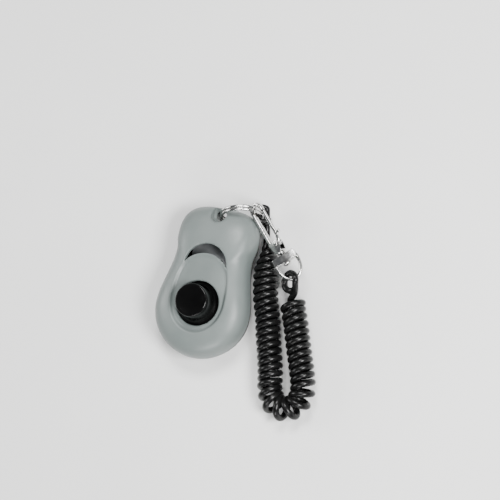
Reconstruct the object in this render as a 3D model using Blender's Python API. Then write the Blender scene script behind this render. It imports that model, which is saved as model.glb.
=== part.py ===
"""Clicker trainer: a push-button clicker with a split ring, a snap hook and a spiral wrist cord.

The casing lies on its back on z = 0, with its origin at the centre of the back, its long
axis along Y (the lanyard end at +Y) and the button upwards. Units are metres.
"""

import math

import bmesh
import bpy
from mathutils import Matrix, Vector

MM = 0.001

# Casing outline: a round lower lobe, a waist and a squarer upper lobe.
LOWER_HALF_WIDTH = 18.4 * MM
LOWER_CENTRE_Y = -11.0 * MM
LOWER_SEMI_HEIGHT = 17.9 * MM
WAIST_HALF_WIDTH = 14.7 * MM
WAIST_Y = 10.6 * MM
UPPER_HALF_WIDTH = 15.6 * MM
UPPER_CENTRE_Y = 16.0 * MM
UPPER_SEMI_HEIGHT = 12.9 * MM
UPPER_EXPONENT = 3.0

# Casing section.
PARTING_Z = 6.0 * MM
GAP = 0.3 * MM
CASING_TOP_Z = 17.0 * MM
CROWN_EXPONENT = 3.2
TOP_WALL = 1.6 * MM
BOTTOM_WALL = 1.8 * MM
FLOOR = 1.6 * MM
BOTTOM_INSET = 0.8 * MM
BACK_CORNER_WIDTH = 3.0 * MM
BACK_CORNER_HEIGHT = 4.5 * MM

# Egg-shaped recess round the button, and the crescent sound slot at its upper end.
EGG_CENTRE_Y = -8.0 * MM
EGG_HALF_WIDTH = 10.8 * MM
EGG_LOW_REACH = 12.2 * MM
EGG_HIGH_REACH = 18.2 * MM
EGG_LOW_EXPONENT = 2.0
EGG_HIGH_EXPONENT = 2.6
EGG_DEPTH = 1.3 * MM
CRESCENT_HALF_SPAN = 8.5 * MM
CRESCENT_END_Y = 5.6 * MM
CRESCENT_OUTER_PEAK_Y = 13.7 * MM
CRESCENT_INNER_PEAK_Y = 9.9 * MM

# Button: a round cap on a flared skirt, with a flange held under the casing's hole.
BUTTON_Y = -9.0 * MM
BUTTON_HOLE_RADIUS = 8.5 * MM
BUTTON_TOP_Z = 22.4 * MM
BUTTON_RADIUS = 6.25 * MM
BUTTON_FLANGE_RADIUS = 9.8 * MM
BUTTON_FLANGE_TOP_Z = 12.9 * MM
PLUNGER_RADIUS = 2.4 * MM

# Clicking reed and the steel frame that clamps it at its root.
REED_Z = 9.3 * MM
REED_THICKNESS = 0.4 * MM
REED_ROOT_Y = 18.2 * MM
REED_TIP_Y = -14.0 * MM
REED_ROOT_HALF_WIDTH = 8.6 * MM
REED_TONGUE_HALF_WIDTH = 5.2 * MM
FRAME_LOW_Z = 5.0 * MM
FRAME_THICKNESS = 1.0 * MM
RIVET_X = 5.2 * MM
RIVET_Y = 16.0 * MM
RIVET_RADIUS = 0.9 * MM

# Self-tapping screws from the back into bosses of the top casing.
SCREW_PLACES = ((-10.7 * MM, 18.0 * MM), (10.7 * MM, 18.0 * MM), (0.0, -23.8 * MM))
SCREW_HEAD_RADIUS = 1.7 * MM
SCREW_SHANK_RADIUS = 0.8 * MM
SCREW_TIP_Z = 9.0 * MM
CAVITY_END_Y = 21.5 * MM
BOSS_RADIUS = 2.0 * MM
BOSS_BORE = 1.1 * MM
BOSS_FOOT_Z = 4.3 * MM
BOSS_TOP_Z = 13.2 * MM

# Lanyard hole at the upper edge, with a pocket above and below the web round it.
LANYARD_Y = 25.4 * MM
LANYARD_HOLE_RADIUS = 2.1 * MM
WEB_TOP_Z = 10.2 * MM
WEB_BOTTOM_Z = 6.2 * MM
RING_RELIEF_Z = 2.8 * MM
POCKET_HALF_WIDTH = 3.1 * MM
POCKET_REACH = 9.0 * MM

# Split ring: two turns of wire through the lanyard hole, leaning on its edge.
RING_WIRE = 1.1 * MM
RING_RADIUS = 7.5 * MM
RING_PITCH = 1.25 * MM
RING_TURN_DEG = 16.0
RING_LEAN_DEG = 10.0
RING_Z = 8.8 * MM

# Snap hook and swivel: a straight axis from the swivel block to the hook's nose.
BLOCK_CENTRE = Vector((28.2, 13.9, 9.8)) * MM
HOOK_TURN_DEG = 132.3
HOOK_RISE_DEG = 4.1
HOOK_TILT_DEG = -30.0
BLOCK_LENGTH = 9.4 * MM
BLOCK_WIDTH = 3.0 * MM
BLOCK_HEIGHT = 3.0 * MM
NECK_START = 1.8 * MM
BOW_HALF_WIDTH = 2.45 * MM
BOW_BAR = 1.5 * MM
BOW_THICKNESS = 2.0 * MM
NOSE_CENTRE = 21.4 * MM
GATE_PIVOT = Vector((6.3, 0.9, 0.0)) * MM
GATE_PIN_RADIUS = 0.5 * MM
SWIVEL_WIRE = 1.3 * MM
SWIVEL_HALF_WIDTH = 4.45 * MM
SWIVEL_REACH = 8.5 * MM
SWIVEL_STRAIGHT = 2.6 * MM

# Spiral wrist cord.
CORD_DIAMETER = 2.5 * MM
CORD_END_GAP = 0.7 * MM
COIL_RADIUS = 4.9 * MM
COIL_Z = 4.95 * MM
COIL_TAPER_LENGTH = 15.0 * MM
COIL_TAPER_END = 0.32


def clear_scene():
    for thing in list(bpy.data.objects):
        bpy.data.objects.remove(thing, do_unlink=True)


def smooth(t):
    t = min(max(t, 0.0), 1.0)
    return t * t * (3.0 - 2.0 * t)


# ---------------------------------------------------------------- materials

def material(name, colour, roughness, metallic=0.0):
    found = bpy.data.materials.get(name)
    if found:
        return found
    new = bpy.data.materials.new(name)
    new.use_nodes = True
    shader = new.node_tree.nodes["Principled BSDF"]
    shader.inputs["Base Color"].default_value = (*colour, 1.0)
    shader.inputs["Roughness"].default_value = roughness
    shader.inputs["Metallic"].default_value = metallic
    return new


def grey_plastic():
    return material("grey_plastic", (0.36, 0.40, 0.41), 0.5)


def black_plastic():
    return material("black_plastic", (0.012, 0.012, 0.013), 0.45)


def gloss_black():
    return material("gloss_black", (0.006, 0.006, 0.007), 0.12)


def chrome():
    return material("chrome", (0.78, 0.78, 0.80), 0.12, 1.0)


def spring_steel():
    return material("spring_steel", (0.25, 0.26, 0.27), 0.35, 1.0)


def cord_plastic():
    return material("cord_plastic", (0.01, 0.01, 0.01), 0.3)


# ---------------------------------------------------------------- mesh tools

def add_object(name, mesh, look, sharp_deg=35.0):
    if look:
        mesh.materials.append(look)
    mesh.shade_smooth()
    mesh.set_sharp_from_angle(angle=math.radians(sharp_deg))
    made = bpy.data.objects.new(name, mesh)
    bpy.context.scene.collection.objects.link(made)
    return made


def mesh_from(name, points, faces):
    mesh = bpy.data.meshes.new(name)
    mesh.from_pydata([tuple(p) for p in points], [], faces)
    bm = bmesh.new()
    bm.from_mesh(mesh)
    bmesh.ops.recalc_face_normals(bm, faces=bm.faces)
    bm.to_mesh(mesh)
    bm.free()
    return mesh


def rings_mesh(name, rings):
    """A closed solid through rings of equal point counts, capped at both ends."""
    count = len(rings[0])
    points = [p for ring in rings for p in ring]
    faces = []
    for level in range(len(rings) - 1):
        low = level * count
        high = low + count
        for i in range(count):
            j = (i + 1) % count
            faces.append((low + i, low + j, high + j, high + i))
    faces.append(tuple(reversed(range(count))))
    last = (len(rings) - 1) * count
    faces.append(tuple(range(last, last + count)))
    return mesh_from(name, points, faces)


def turned(name, profile, look, segments=40, place=None, sharp_deg=35.0):
    """A turned solid about local Z from (radius, z) points that start and end off the axis."""
    rings = []
    for radius, z in profile:
        rings.append([(radius * math.cos(2 * math.pi * i / segments),
                       radius * math.sin(2 * math.pi * i / segments), z)
                      for i in range(segments)])
    made = add_object(name, rings_mesh(name, rings), look, sharp_deg)
    if place is not None:
        made.matrix_world = place
    return made


def prism(name, outline, z_low, z_high, look, place=None):
    rings = [[(x, y, z) for x, y in outline] for z in (z_low, z_high)]
    made = add_object(name, rings_mesh(name, rings), look)
    if place is not None:
        made.matrix_world = place
    return made


def box(name, low, high, look, place=None):
    outline = [(low[0], low[1]), (high[0], low[1]), (high[0], high[1]), (low[0], high[1])]
    return prism(name, outline, low[2], high[2], look, place)


def hide_tool(tool):
    tool.hide_render = True
    tool.display_type = "WIRE"
    return tool


def boolean(target, tool, operation):
    hide_tool(tool)
    change = target.modifiers.new(operation.lower(), "BOOLEAN")
    change.operation = operation
    change.object = tool
    change.solver = "EXACT"


def tube(name, points, diameter, look, sides=8, taper=None):
    """A round tube along a poly line, as a curve with a bevel and filled caps."""
    data = bpy.data.curves.new(name, "CURVE")
    data.dimensions = "3D"
    data.bevel_depth = diameter / 2
    data.bevel_resolution = sides // 2 - 2
    data.use_fill_caps = True
    spline = data.splines.new("POLY")
    spline.points.add(len(points) - 1)
    for i, (target, place) in enumerate(zip(spline.points, points)):
        target.co = (*place, 1.0)
        if taper:
            target.radius = taper[i]
    data.materials.append(look)
    made = bpy.data.objects.new(name, data)
    bpy.context.scene.collection.objects.link(made)
    return made


def through(points, count):
    """Even points along a smooth Catmull-Rom curve through the given points."""
    places = [Vector(p) for p in points]
    ends = [places[0] * 2 - places[1]] + places + [places[-1] * 2 - places[-2]]
    fine = []
    for k in range(1, len(ends) - 2):
        a, b, c, d = ends[k - 1:k + 3]
        for step in range(24):
            t = step / 24
            fine.append(0.5 * (2 * b + (c - a) * t + (2 * a - 5 * b + 4 * c - d) * t * t
                               + (3 * b - a - 3 * c + d) * t ** 3))
    fine.append(places[-1])
    travelled = [0.0]
    for before, after in zip(fine, fine[1:]):
        travelled.append(travelled[-1] + (after - before).length)
    even = []
    k = 0
    for i in range(count):
        goal = travelled[-1] * i / (count - 1)
        while k < len(fine) - 2 and travelled[k + 1] < goal:
            k += 1
        span = max(travelled[k + 1] - travelled[k], 1e-12)
        even.append(fine[k].lerp(fine[k + 1], min((goal - travelled[k]) / span, 1.0)))
    return even


# ---------------------------------------------------------------- casing shapes

def half_width(y):
    """The outline's half width at a place along the casing's long axis."""
    if y < LOWER_CENTRE_Y:
        ratio = min((LOWER_CENTRE_Y - y) / LOWER_SEMI_HEIGHT, 1.0)
        return LOWER_HALF_WIDTH * math.sqrt(1.0 - ratio * ratio)
    if y < WAIST_Y:
        t = smooth((y - LOWER_CENTRE_Y) / (WAIST_Y - LOWER_CENTRE_Y))
        return LOWER_HALF_WIDTH + (WAIST_HALF_WIDTH - LOWER_HALF_WIDTH) * t
    if y < UPPER_CENTRE_Y:
        t = smooth((y - WAIST_Y) / (UPPER_CENTRE_Y - WAIST_Y))
        return WAIST_HALF_WIDTH + (UPPER_HALF_WIDTH - WAIST_HALF_WIDTH) * t
    ratio = min((y - UPPER_CENTRE_Y) / UPPER_SEMI_HEIGHT, 1.0)
    return UPPER_HALF_WIDTH * (1.0 - ratio ** UPPER_EXPONENT) ** (1.0 / UPPER_EXPONENT)


def outline(count, inset=0.0):
    """Points round the casing, counter-clockwise, moved inwards by the inset."""
    raw = []
    for i in range(count):
        angle = 2 * math.pi * i / count
        dx, dy = math.cos(angle), math.sin(angle)
        low, high = 0.0, 40 * MM
        for _ in range(40):
            middle = (low + high) / 2
            y = middle * dy
            bottom = LOWER_CENTRE_Y - LOWER_SEMI_HEIGHT
            top = UPPER_CENTRE_Y + UPPER_SEMI_HEIGHT
            inside = bottom <= y <= top and abs(middle * dx) <= half_width(y)
            low, high = (middle, high) if inside else (low, middle)
        raw.append(Vector((low * dx, low * dy)))
    moved = []
    for i in range(count):
        along = raw[(i + 1) % count] - raw[i - 1]
        inward = Vector((-along.y, along.x)).normalized()
        moved.append(raw[i] + inward * inset)
    return moved


def egg(x, y):
    """One inside the egg-shaped recess, nought outside it, with a soft edge."""
    up = y - EGG_CENTRE_Y
    reach = EGG_HIGH_REACH if up > 0 else EGG_LOW_REACH
    power = EGG_HIGH_EXPONENT if up > 0 else EGG_LOW_EXPONENT
    e = (abs(x / EGG_HALF_WIDTH) ** power + abs(up / reach) ** power) ** (1.0 / power)
    return 1.0 - smooth((e - 0.9) / 0.14)


def crown(share, x, y, height):
    rise = (1.0 - share ** CROWN_EXPONENT) ** (1.0 / CROWN_EXPONENT)
    return PARTING_Z + GAP + height * rise - EGG_DEPTH * egg(x, y)


def crescent(count=14):
    """The sound slot: an outer arc and an inner arc that meet at two points."""
    half = CRESCENT_HALF_SPAN
    points = []
    for peak, direction in ((CRESCENT_OUTER_PEAK_Y, 1), (CRESCENT_INNER_PEAK_Y, -1)):
        rise = peak - CRESCENT_END_Y
        radius = (rise * rise + half * half) / (2 * rise)
        centre = peak - radius
        sweep = math.asin(half / radius)
        if centre > CRESCENT_END_Y:
            sweep = math.pi - sweep
        for i in range(count):
            angle = direction * sweep * (1 - 2 * i / count)
            points.append((radius * math.sin(angle), centre + radius * math.cos(angle)))
    return points


def place_at(x, y, z=0.0):
    return Matrix.Translation((x, y, z))


def pocket_outline(reach):
    """A slot with a round inner end at the lanyard hole, open towards the casing's edge."""
    points = [(POCKET_HALF_WIDTH, LANYARD_Y + reach), (-POCKET_HALF_WIDTH, LANYARD_Y + reach)]
    for i in range(13):
        angle = math.pi + math.pi * i / 12
        points.append((POCKET_HALF_WIDTH * math.cos(angle),
                       LANYARD_Y + POCKET_HALF_WIDTH * math.sin(angle)))
    return points


def cut_lanyard_hole(shell):
    tool = turned("cutter_lanyard_hole", [(LANYARD_HOLE_RADIUS, -2 * MM), (LANYARD_HOLE_RADIUS, 20 * MM)],
                  None, 24, place_at(0, LANYARD_Y))
    boolean(shell, tool, "DIFFERENCE")


def make_top_casing():
    edge = outline(72)
    inner_edge = outline(72, TOP_WALL)
    height = CASING_TOP_Z - PARTING_Z - GAP
    shares = [0.04, 0.2, 0.34, 0.46, 0.57, 0.67, 0.76, 0.84, 0.9, 0.945, 0.975, 0.993, 1.0]
    rings = []
    for share in shares:
        ring = []
        for p in inner_edge:
            x, y = p.x * share, min(p.y * share, CAVITY_END_Y)
            ring.append((x, y, crown(share, x, y, height - TOP_WALL)))
        rings.append(ring)
    for share in reversed(shares):
        rings.append([(p.x * share, p.y * share, crown(share, p.x * share, p.y * share, height))
                      for p in edge])
    shell = add_object("top_casing", rings_mesh("top_casing", rings), grey_plastic(), 50)
    for k, (x, y) in enumerate(SCREW_PLACES):
        boss = turned(f"cutter_boss_{k}", [(BOSS_RADIUS, BOSS_FOOT_Z), (BOSS_RADIUS, BOSS_TOP_Z)],
                      None, 20, place_at(x, y))
        boolean(shell, boss, "UNION")
    for k, (x, y) in enumerate(SCREW_PLACES):
        bore = turned(f"cutter_bore_{k}", [(BOSS_BORE, 0.0), (BOSS_BORE, SCREW_TIP_Z + 0.6 * MM)],
                      None, 16, place_at(x, y))
        boolean(shell, bore, "DIFFERENCE")
    hole = turned("cutter_button_hole", [(BUTTON_HOLE_RADIUS, 9 * MM), (BUTTON_HOLE_RADIUS, 22 * MM)],
                  None, 48, place_at(0, BUTTON_Y))
    boolean(shell, hole, "DIFFERENCE")
    slot = prism("cutter_crescent", crescent(), 9 * MM, 22 * MM, None)
    boolean(shell, slot, "DIFFERENCE")
    pocket = prism("cutter_top_pocket", pocket_outline(POCKET_REACH), WEB_TOP_Z, 22 * MM, None)
    boolean(shell, pocket, "DIFFERENCE")
    cut_lanyard_hole(shell)
    return shell


def make_bottom_casing():
    corner_steps = 5
    rings = []
    for k in range(corner_steps + 1):
        angle = math.pi / 2 * k / corner_steps
        inset = BOTTOM_INSET + BACK_CORNER_WIDTH * (1 - math.sin(angle))
        z = BACK_CORNER_HEIGHT * (1 - math.cos(angle))
        rings.append([(p.x, p.y, z) for p in outline(72, inset)])
    rings.append([(p.x, p.y, PARTING_Z) for p in outline(72, BOTTOM_INSET)])
    inner = outline(72, BOTTOM_INSET + BOTTOM_WALL)
    low_inner = outline(72, BOTTOM_INSET + BOTTOM_WALL + 1.4 * MM)
    rings.append([(p.x, min(p.y, CAVITY_END_Y), PARTING_Z) for p in inner])
    rings.append([(p.x, min(p.y, CAVITY_END_Y), 3.4 * MM) for p in inner])
    rings.append([(p.x, min(p.y, CAVITY_END_Y - 1.4 * MM), FLOOR) for p in low_inner])
    shell = add_object("bottom_casing", rings_mesh("bottom_casing", rings), black_plastic(), 50)
    boss_top = BOSS_FOOT_Z - GAP
    for k, (x, y) in enumerate(SCREW_PLACES):
        boss = turned(f"cutter_seat_{k}", [(3.0 * MM, 1.0 * MM), (3.0 * MM, boss_top)],
                      None, 20, place_at(x, y))
        boolean(shell, boss, "UNION")
    for k, (x, y) in enumerate(SCREW_PLACES):
        recess = turned(f"cutter_recess_{k}", [(2.0 * MM, -1.0 * MM), (2.0 * MM, 2.2 * MM)],
                        None, 20, place_at(x, y))
        boolean(shell, recess, "DIFFERENCE")
        bore = turned(f"cutter_shank_{k}", [(BOSS_BORE, 1.0 * MM), (BOSS_BORE, 6.0 * MM)],
                      None, 16, place_at(x, y))
        boolean(shell, bore, "DIFFERENCE")
    for k, (y_low, y_high) in enumerate(((12.6 * MM, 13.8 * MM), (-17.2 * MM, -16.0 * MM))):
        rib = box(f"cutter_rib_{k}", (-8.0 * MM, y_low, 1.0 * MM),
                  (8.0 * MM, y_high, FRAME_LOW_Z - GAP), None)
        boolean(shell, rib, "UNION")
    pocket = prism("cutter_low_pocket", pocket_outline(POCKET_REACH), -2 * MM, WEB_BOTTOM_Z, None)
    boolean(shell, pocket, "DIFFERENCE")
    side = box("cutter_low_side", (0.0, LANYARD_Y - POCKET_HALF_WIDTH + 0.1 * MM, -2 * MM),
               (5.2 * MM, LANYARD_Y + POCKET_REACH, WEB_BOTTOM_Z), None)
    boolean(shell, side, "DIFFERENCE")
    relief = box("cutter_ring_relief", (0.5 * MM, LANYARD_Y - POCKET_HALF_WIDTH + 0.2 * MM, -2 * MM),
                 (16 * MM, LANYARD_Y + POCKET_REACH, RING_RELIEF_Z), None)
    boolean(shell, relief, "DIFFERENCE")
    cut_lanyard_hole(shell)
    return shell


def make_button():
    flange = BUTTON_FLANGE_TOP_Z
    foot = REED_Z + REED_THICKNESS + 0.9 * MM
    profile = [
        (1.0 * MM, foot), (PLUNGER_RADIUS, foot + 0.2 * MM),
        (PLUNGER_RADIUS, flange - 1.0 * MM), (BUTTON_FLANGE_RADIUS, flange - 1.0 * MM),
        (BUTTON_FLANGE_RADIUS, flange), (8.3 * MM, flange + 0.3 * MM), (7.75 * MM, flange + 1.7 * MM),
        (7.0 * MM, flange + 3.0 * MM), (6.6 * MM, flange + 4.8 * MM),
        (BUTTON_RADIUS + 0.1 * MM, BUTTON_TOP_Z - 0.8 * MM),
        (BUTTON_RADIUS - 0.12 * MM, BUTTON_TOP_Z - 0.3 * MM),
        (BUTTON_RADIUS - 0.5 * MM, BUTTON_TOP_Z), (BUTTON_RADIUS - 1.1 * MM, BUTTON_TOP_Z - 0.1 * MM),
        (1.0 * MM, BUTTON_TOP_Z - 0.35 * MM),
    ]
    return turned("button_cap", profile, gloss_black(), 48, place_at(0, BUTTON_Y))


def make_screws():
    for k, (x, y) in enumerate(SCREW_PLACES):
        profile = [(SCREW_HEAD_RADIUS, 0.4 * MM), (SCREW_HEAD_RADIUS, 1.0 * MM),
                   (SCREW_SHANK_RADIUS, 1.9 * MM), (SCREW_SHANK_RADIUS, SCREW_TIP_Z - 0.8 * MM),
                   (0.2 * MM, SCREW_TIP_Z)]
        screw = turned(f"casing_screw_{k + 1}", profile, spring_steel(), 16, place_at(x, y))
        for turn, (half_x, half_y) in enumerate(((1.1 * MM, 0.25 * MM), (0.25 * MM, 1.1 * MM))):
            slot = box(f"cutter_cross_{k}_{turn}", (-half_x, -half_y, 0.0), (half_x, half_y, 0.9 * MM), None,
                       place_at(x, y))
            boolean(screw, slot, "DIFFERENCE")


# ---------------------------------------------------------------- clicking reed

def make_reed():
    """A thin steel tongue with a pressed dome under the button; its origin is on its clamp line."""
    steps_along, steps_across = 30, 10
    rings = []
    for i in range(steps_along + 1):
        y = REED_TIP_Y + (REED_ROOT_Y - REED_TIP_Y) * i / steps_along
        t = smooth((y - 4 * MM) / (5 * MM))
        half = REED_TONGUE_HALF_WIDTH + (REED_ROOT_HALF_WIDTH - REED_TONGUE_HALF_WIDTH) * t
        upper, lower = [], []
        for j in range(steps_across + 1):
            x = half * (2 * j / steps_across - 1)
            away = math.hypot(x, y - BUTTON_Y) / (4 * MM)
            dome = 0.7 * MM * (1 - smooth(away))
            upper.append((x, y, REED_Z + REED_THICKNESS + dome))
            lower.append((x, y, REED_Z + dome))
        rings.append(upper + lower[::-1])
    reed = add_object("click_reed", rings_mesh("click_reed", rings), spring_steel())
    for side in (-1, 1):
        tool = turned(f"cutter_reed_{side}", [(RIVET_RADIUS + GAP, 0.0), (RIVET_RADIUS + GAP, 20 * MM)],
                      None, 16, place_at(side * RIVET_X, RIVET_Y))
        boolean(reed, tool, "DIFFERENCE")


def make_reed_frame():
    """A pressed steel frame round the tongue, with the pad that the reed is clamped on."""
    low, high = FRAME_LOW_Z, FRAME_LOW_Z + FRAME_THICKNESS
    frame = box("reed_frame", (-8.2 * MM, -17.4 * MM, low), (8.2 * MM, 18.6 * MM, high), spring_steel())
    window = box("cutter_frame_window", (-6.6 * MM, -15.4 * MM, 0.0), (6.6 * MM, 11.0 * MM, 20 * MM), None)
    boolean(frame, window, "DIFFERENCE")
    pad = box("cutter_frame_pad", (-8.0 * MM, RIVET_Y - 1.2 * MM, low + 0.2 * MM),
              (8.0 * MM, RIVET_Y + 1.2 * MM, REED_Z - 0.15 * MM), None)
    boolean(frame, pad, "UNION")
    for side in (-1, 1):
        tool = turned(f"cutter_frame_{side}", [(RIVET_RADIUS + GAP, 0.0), (RIVET_RADIUS + GAP, 20 * MM)],
                      None, 16, place_at(side * RIVET_X, RIVET_Y))
        boolean(frame, tool, "DIFFERENCE")


def make_rivets():
    top = REED_Z + REED_THICKNESS + 0.15 * MM
    foot = FRAME_LOW_Z - 0.15 * MM
    for side, name in ((-1, "reed_rivet_left"), (1, "reed_rivet_right")):
        profile = [(1.5 * MM, foot - 0.6 * MM), (1.5 * MM, foot), (RIVET_RADIUS, foot), (RIVET_RADIUS, top),
                   (1.7 * MM, top), (1.5 * MM, top + 0.5 * MM), (0.7 * MM, top + 0.8 * MM)]
        turned(name, profile, spring_steel(), 16, place_at(side * RIVET_X, RIVET_Y))


# ---------------------------------------------------------------- split ring

def ring_axes():
    """The split ring's two in-plane directions and its normal."""
    turn = math.radians(RING_TURN_DEG)
    lean = math.radians(RING_LEAN_DEG)
    along = Vector((math.cos(turn), math.sin(turn), 0.0))
    side = Vector((-math.sin(turn), math.cos(turn), 0.0))
    up = side * math.sin(lean) + Vector((0.0, 0.0, math.cos(lean)))
    return along, up, along.cross(up)


def ring_centre():
    along = ring_axes()[0]
    return Vector((0.0, LANYARD_Y, RING_Z)) + along * (RING_RADIUS - 0.15 * MM)


def ring_point(degrees):
    along, up, _ = ring_axes()
    angle = math.radians(degrees)
    return ring_centre() + (along * math.cos(angle) + up * math.sin(angle)) * RING_RADIUS


def make_split_ring():
    """Two turns of wire side by side, stepped across where the turns pass each other."""
    along, up, normal = ring_axes()
    turns, per_turn = 1.94, 26
    count = int(turns * per_turn) + 1
    points = []
    for i in range(count):
        angle = 2 * math.pi * turns * i / (count - 1) + math.radians(100)
        t = turns * i / (count - 1)
        step = RING_PITCH * (smooth((t - 0.7) / 0.54) - 0.5)
        points.append(ring_centre() + (along * math.cos(angle) + up * math.sin(angle)) * RING_RADIUS
                      + normal * step)
    tube("split_ring", points, RING_WIRE, chrome())


# ---------------------------------------------------------------- snap hook and swivel

def hook_matrix():
    """Local X towards the nose, local Y across to the gate, origin at the swivel block."""
    turn = math.radians(HOOK_TURN_DEG)
    rise = math.radians(HOOK_RISE_DEG)
    x = Vector((math.cos(turn) * math.cos(rise), math.sin(turn) * math.cos(rise), math.sin(rise)))
    level = Vector((math.sin(turn), -math.cos(turn), 0.0))
    z = x.cross(level).normalized()
    tilt = math.radians(HOOK_TILT_DEG)
    y = level * math.cos(tilt) + z * math.sin(tilt)
    z = x.cross(y).normalized()
    turned_axes = Matrix((x, y, z)).transposed().to_4x4()
    return Matrix.Translation(BLOCK_CENTRE) @ turned_axes


def level_matrix():
    """As hook_matrix, without the tilt: the swivel loop lies level."""
    tilt = Matrix.Rotation(-math.radians(HOOK_TILT_DEG), 4, "X")
    return hook_matrix() @ tilt


def lathe_x(name, profile, look, segments, place):
    """A turned solid whose axis is the local X of the given placing."""
    return turned(name, profile, look, segments, place @ Matrix.Rotation(math.pi / 2, 4, "Y"))


def band(points, width):
    """The outline of a bar of even width along a flat poly line."""
    left, right = [], []
    for i, p in enumerate(points):
        before = points[max(i - 1, 0)]
        after = points[min(i + 1, len(points) - 1)]
        along = (after - before).normalized()
        across = Vector((-along.y, along.x)) * width / 2
        left.append(p + across)
        right.append(p - across)
    return [tuple(p) for p in right + left[::-1]]


def bow_line():
    """The spine, out from the neck, and the nose that turns back towards the gate."""
    line = [Vector((3.0, -1.2)) * MM, Vector((5.0, -2.2)) * MM, Vector((7.0, -2.4)) * MM]
    line.append(Vector((12 * MM, -BOW_HALF_WIDTH)))
    for i in range(13):
        angle = -math.pi / 2 + math.pi * i / 12
        line.append(Vector((NOSE_CENTRE, 0.0)) + Vector((math.cos(angle), math.sin(angle))) * BOW_HALF_WIDTH)
    line.append(Vector((NOSE_CENTRE - 1.1 * MM, BOW_HALF_WIDTH)))
    return line


def gate_pin_bore(name):
    radius = GATE_PIN_RADIUS + 0.15 * MM
    place = hook_matrix() @ Matrix.Translation(GATE_PIVOT)
    return turned(name, [(radius, -3 * MM), (radius, 3 * MM)], None, 16, place)


def make_hook_body():
    place = hook_matrix()
    half = BOW_THICKNESS / 2
    body = prism("snap_hook_body", band(bow_line(), BOW_BAR), -half, half, chrome(), place)
    block_outline = [(NECK_START, -1.5 * MM), (3.4 * MM, -1.95 * MM), (7.4 * MM, -2.6 * MM),
                     (7.9 * MM, -2.0 * MM), (7.9 * MM, 0.9 * MM), (7.0 * MM, 2.2 * MM),
                     (3.4 * MM, 1.95 * MM), (NECK_START, 1.5 * MM)]
    block = prism("cutter_hook_block", block_outline, -1.4 * MM, 1.4 * MM, None, place)
    boolean(body, block, "UNION")
    slot = box("cutter_gate_slot", (3.3 * MM, -0.9 * MM, -0.8 * MM), (9.0 * MM, 4.0 * MM, 0.8 * MM), None,
               place)
    boolean(body, slot, "DIFFERENCE")
    boolean(body, gate_pin_bore("cutter_pin_in_body"), "DIFFERENCE")
    stem_hole = lathe_x("cutter_stem", [(0.95 * MM, 1.0 * MM), (0.95 * MM, 2.9 * MM)], None, 16, place)
    boolean(body, stem_hole, "DIFFERENCE")
    return body


def make_gate():
    """The lever: a bar from its pin to the nose, with a thumb nub and a short tail."""
    place = hook_matrix()
    pivot = Vector((GATE_PIVOT.x, GATE_PIVOT.y))
    line = [pivot + Vector((-1.5, 0.3)) * MM, pivot, pivot + Vector((1.6, 1.2)) * MM,
            Vector((9.6 * MM, BOW_HALF_WIDTH)), Vector((13.5 * MM, BOW_HALF_WIDTH)),
            Vector((NOSE_CENTRE - 1.5 * MM, BOW_HALF_WIDTH))]
    gate = prism("snap_gate", band(line, 1.3 * MM), -0.5 * MM, 0.5 * MM, chrome(), place)
    eye = turned("cutter_gate_eye", [(1.3 * MM, -0.5 * MM), (1.3 * MM, 0.5 * MM)], None, 20,
                 place @ Matrix.Translation(GATE_PIVOT))
    boolean(gate, eye, "UNION")
    nub = box("cutter_nub", (9.3 * MM, BOW_HALF_WIDTH, -0.45 * MM),
              (10.6 * MM, BOW_HALF_WIDTH + 2.2 * MM, 0.45 * MM), None, place)
    boolean(gate, nub, "UNION")
    boolean(gate, gate_pin_bore("cutter_pin_in_gate"), "DIFFERENCE")
    return gate


def make_gate_pin():
    place = hook_matrix() @ Matrix.Translation(GATE_PIVOT)
    turned("gate_pin", [(0.8 * MM, -1.95 * MM), (0.9 * MM, -1.6 * MM), (GATE_PIN_RADIUS, -1.6 * MM),
                        (GATE_PIN_RADIUS, 1.6 * MM), (0.9 * MM, 1.6 * MM), (0.8 * MM, 1.95 * MM)],
           chrome(), 16, place)


def make_gate_spring():
    """A small compression spring in the slot, behind the gate's tail."""
    place = hook_matrix()
    turns, per_turn = 4, 10
    start, length, radius = 3.5 * MM, 0.75 * MM, 0.42 * MM
    points = []
    for i in range(turns * per_turn + 1):
        angle = 2 * math.pi * i / per_turn
        x = start + length * i / (turns * per_turn)
        points.append(place @ Vector((x, 0.9 * MM + radius * math.cos(angle), radius * math.sin(angle))))
    tube("gate_spring", points, 0.14 * MM, spring_steel(), 8)


def make_stem():
    """The rivet from the hook's neck through the block, with its head inside the loop."""
    place = level_matrix()
    profile = [(0.7 * MM, -2.9 * MM), (1.5 * MM, -2.6 * MM), (1.6 * MM, -1.8 * MM), (0.7 * MM, -1.8 * MM),
               (0.7 * MM, 2.7 * MM)]
    lathe_x("swivel_stem", profile, chrome(), 20, place)


def swivel_line():
    """The loop's wire: out of one end of the block, round, and back into the other."""
    side = SWIVEL_HALF_WIDTH
    straight = SWIVEL_STRAIGHT
    line = [Vector((0.0, side, 0.0))]
    for i in range(21):
        angle = math.pi / 2 - math.pi * i / 20
        x = -straight - (SWIVEL_REACH - straight) * math.cos(angle)
        line.append(Vector((x, side * math.sin(angle), 0.0)))
    line.append(Vector((0.0, -side, 0.0)))
    return line


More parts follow.
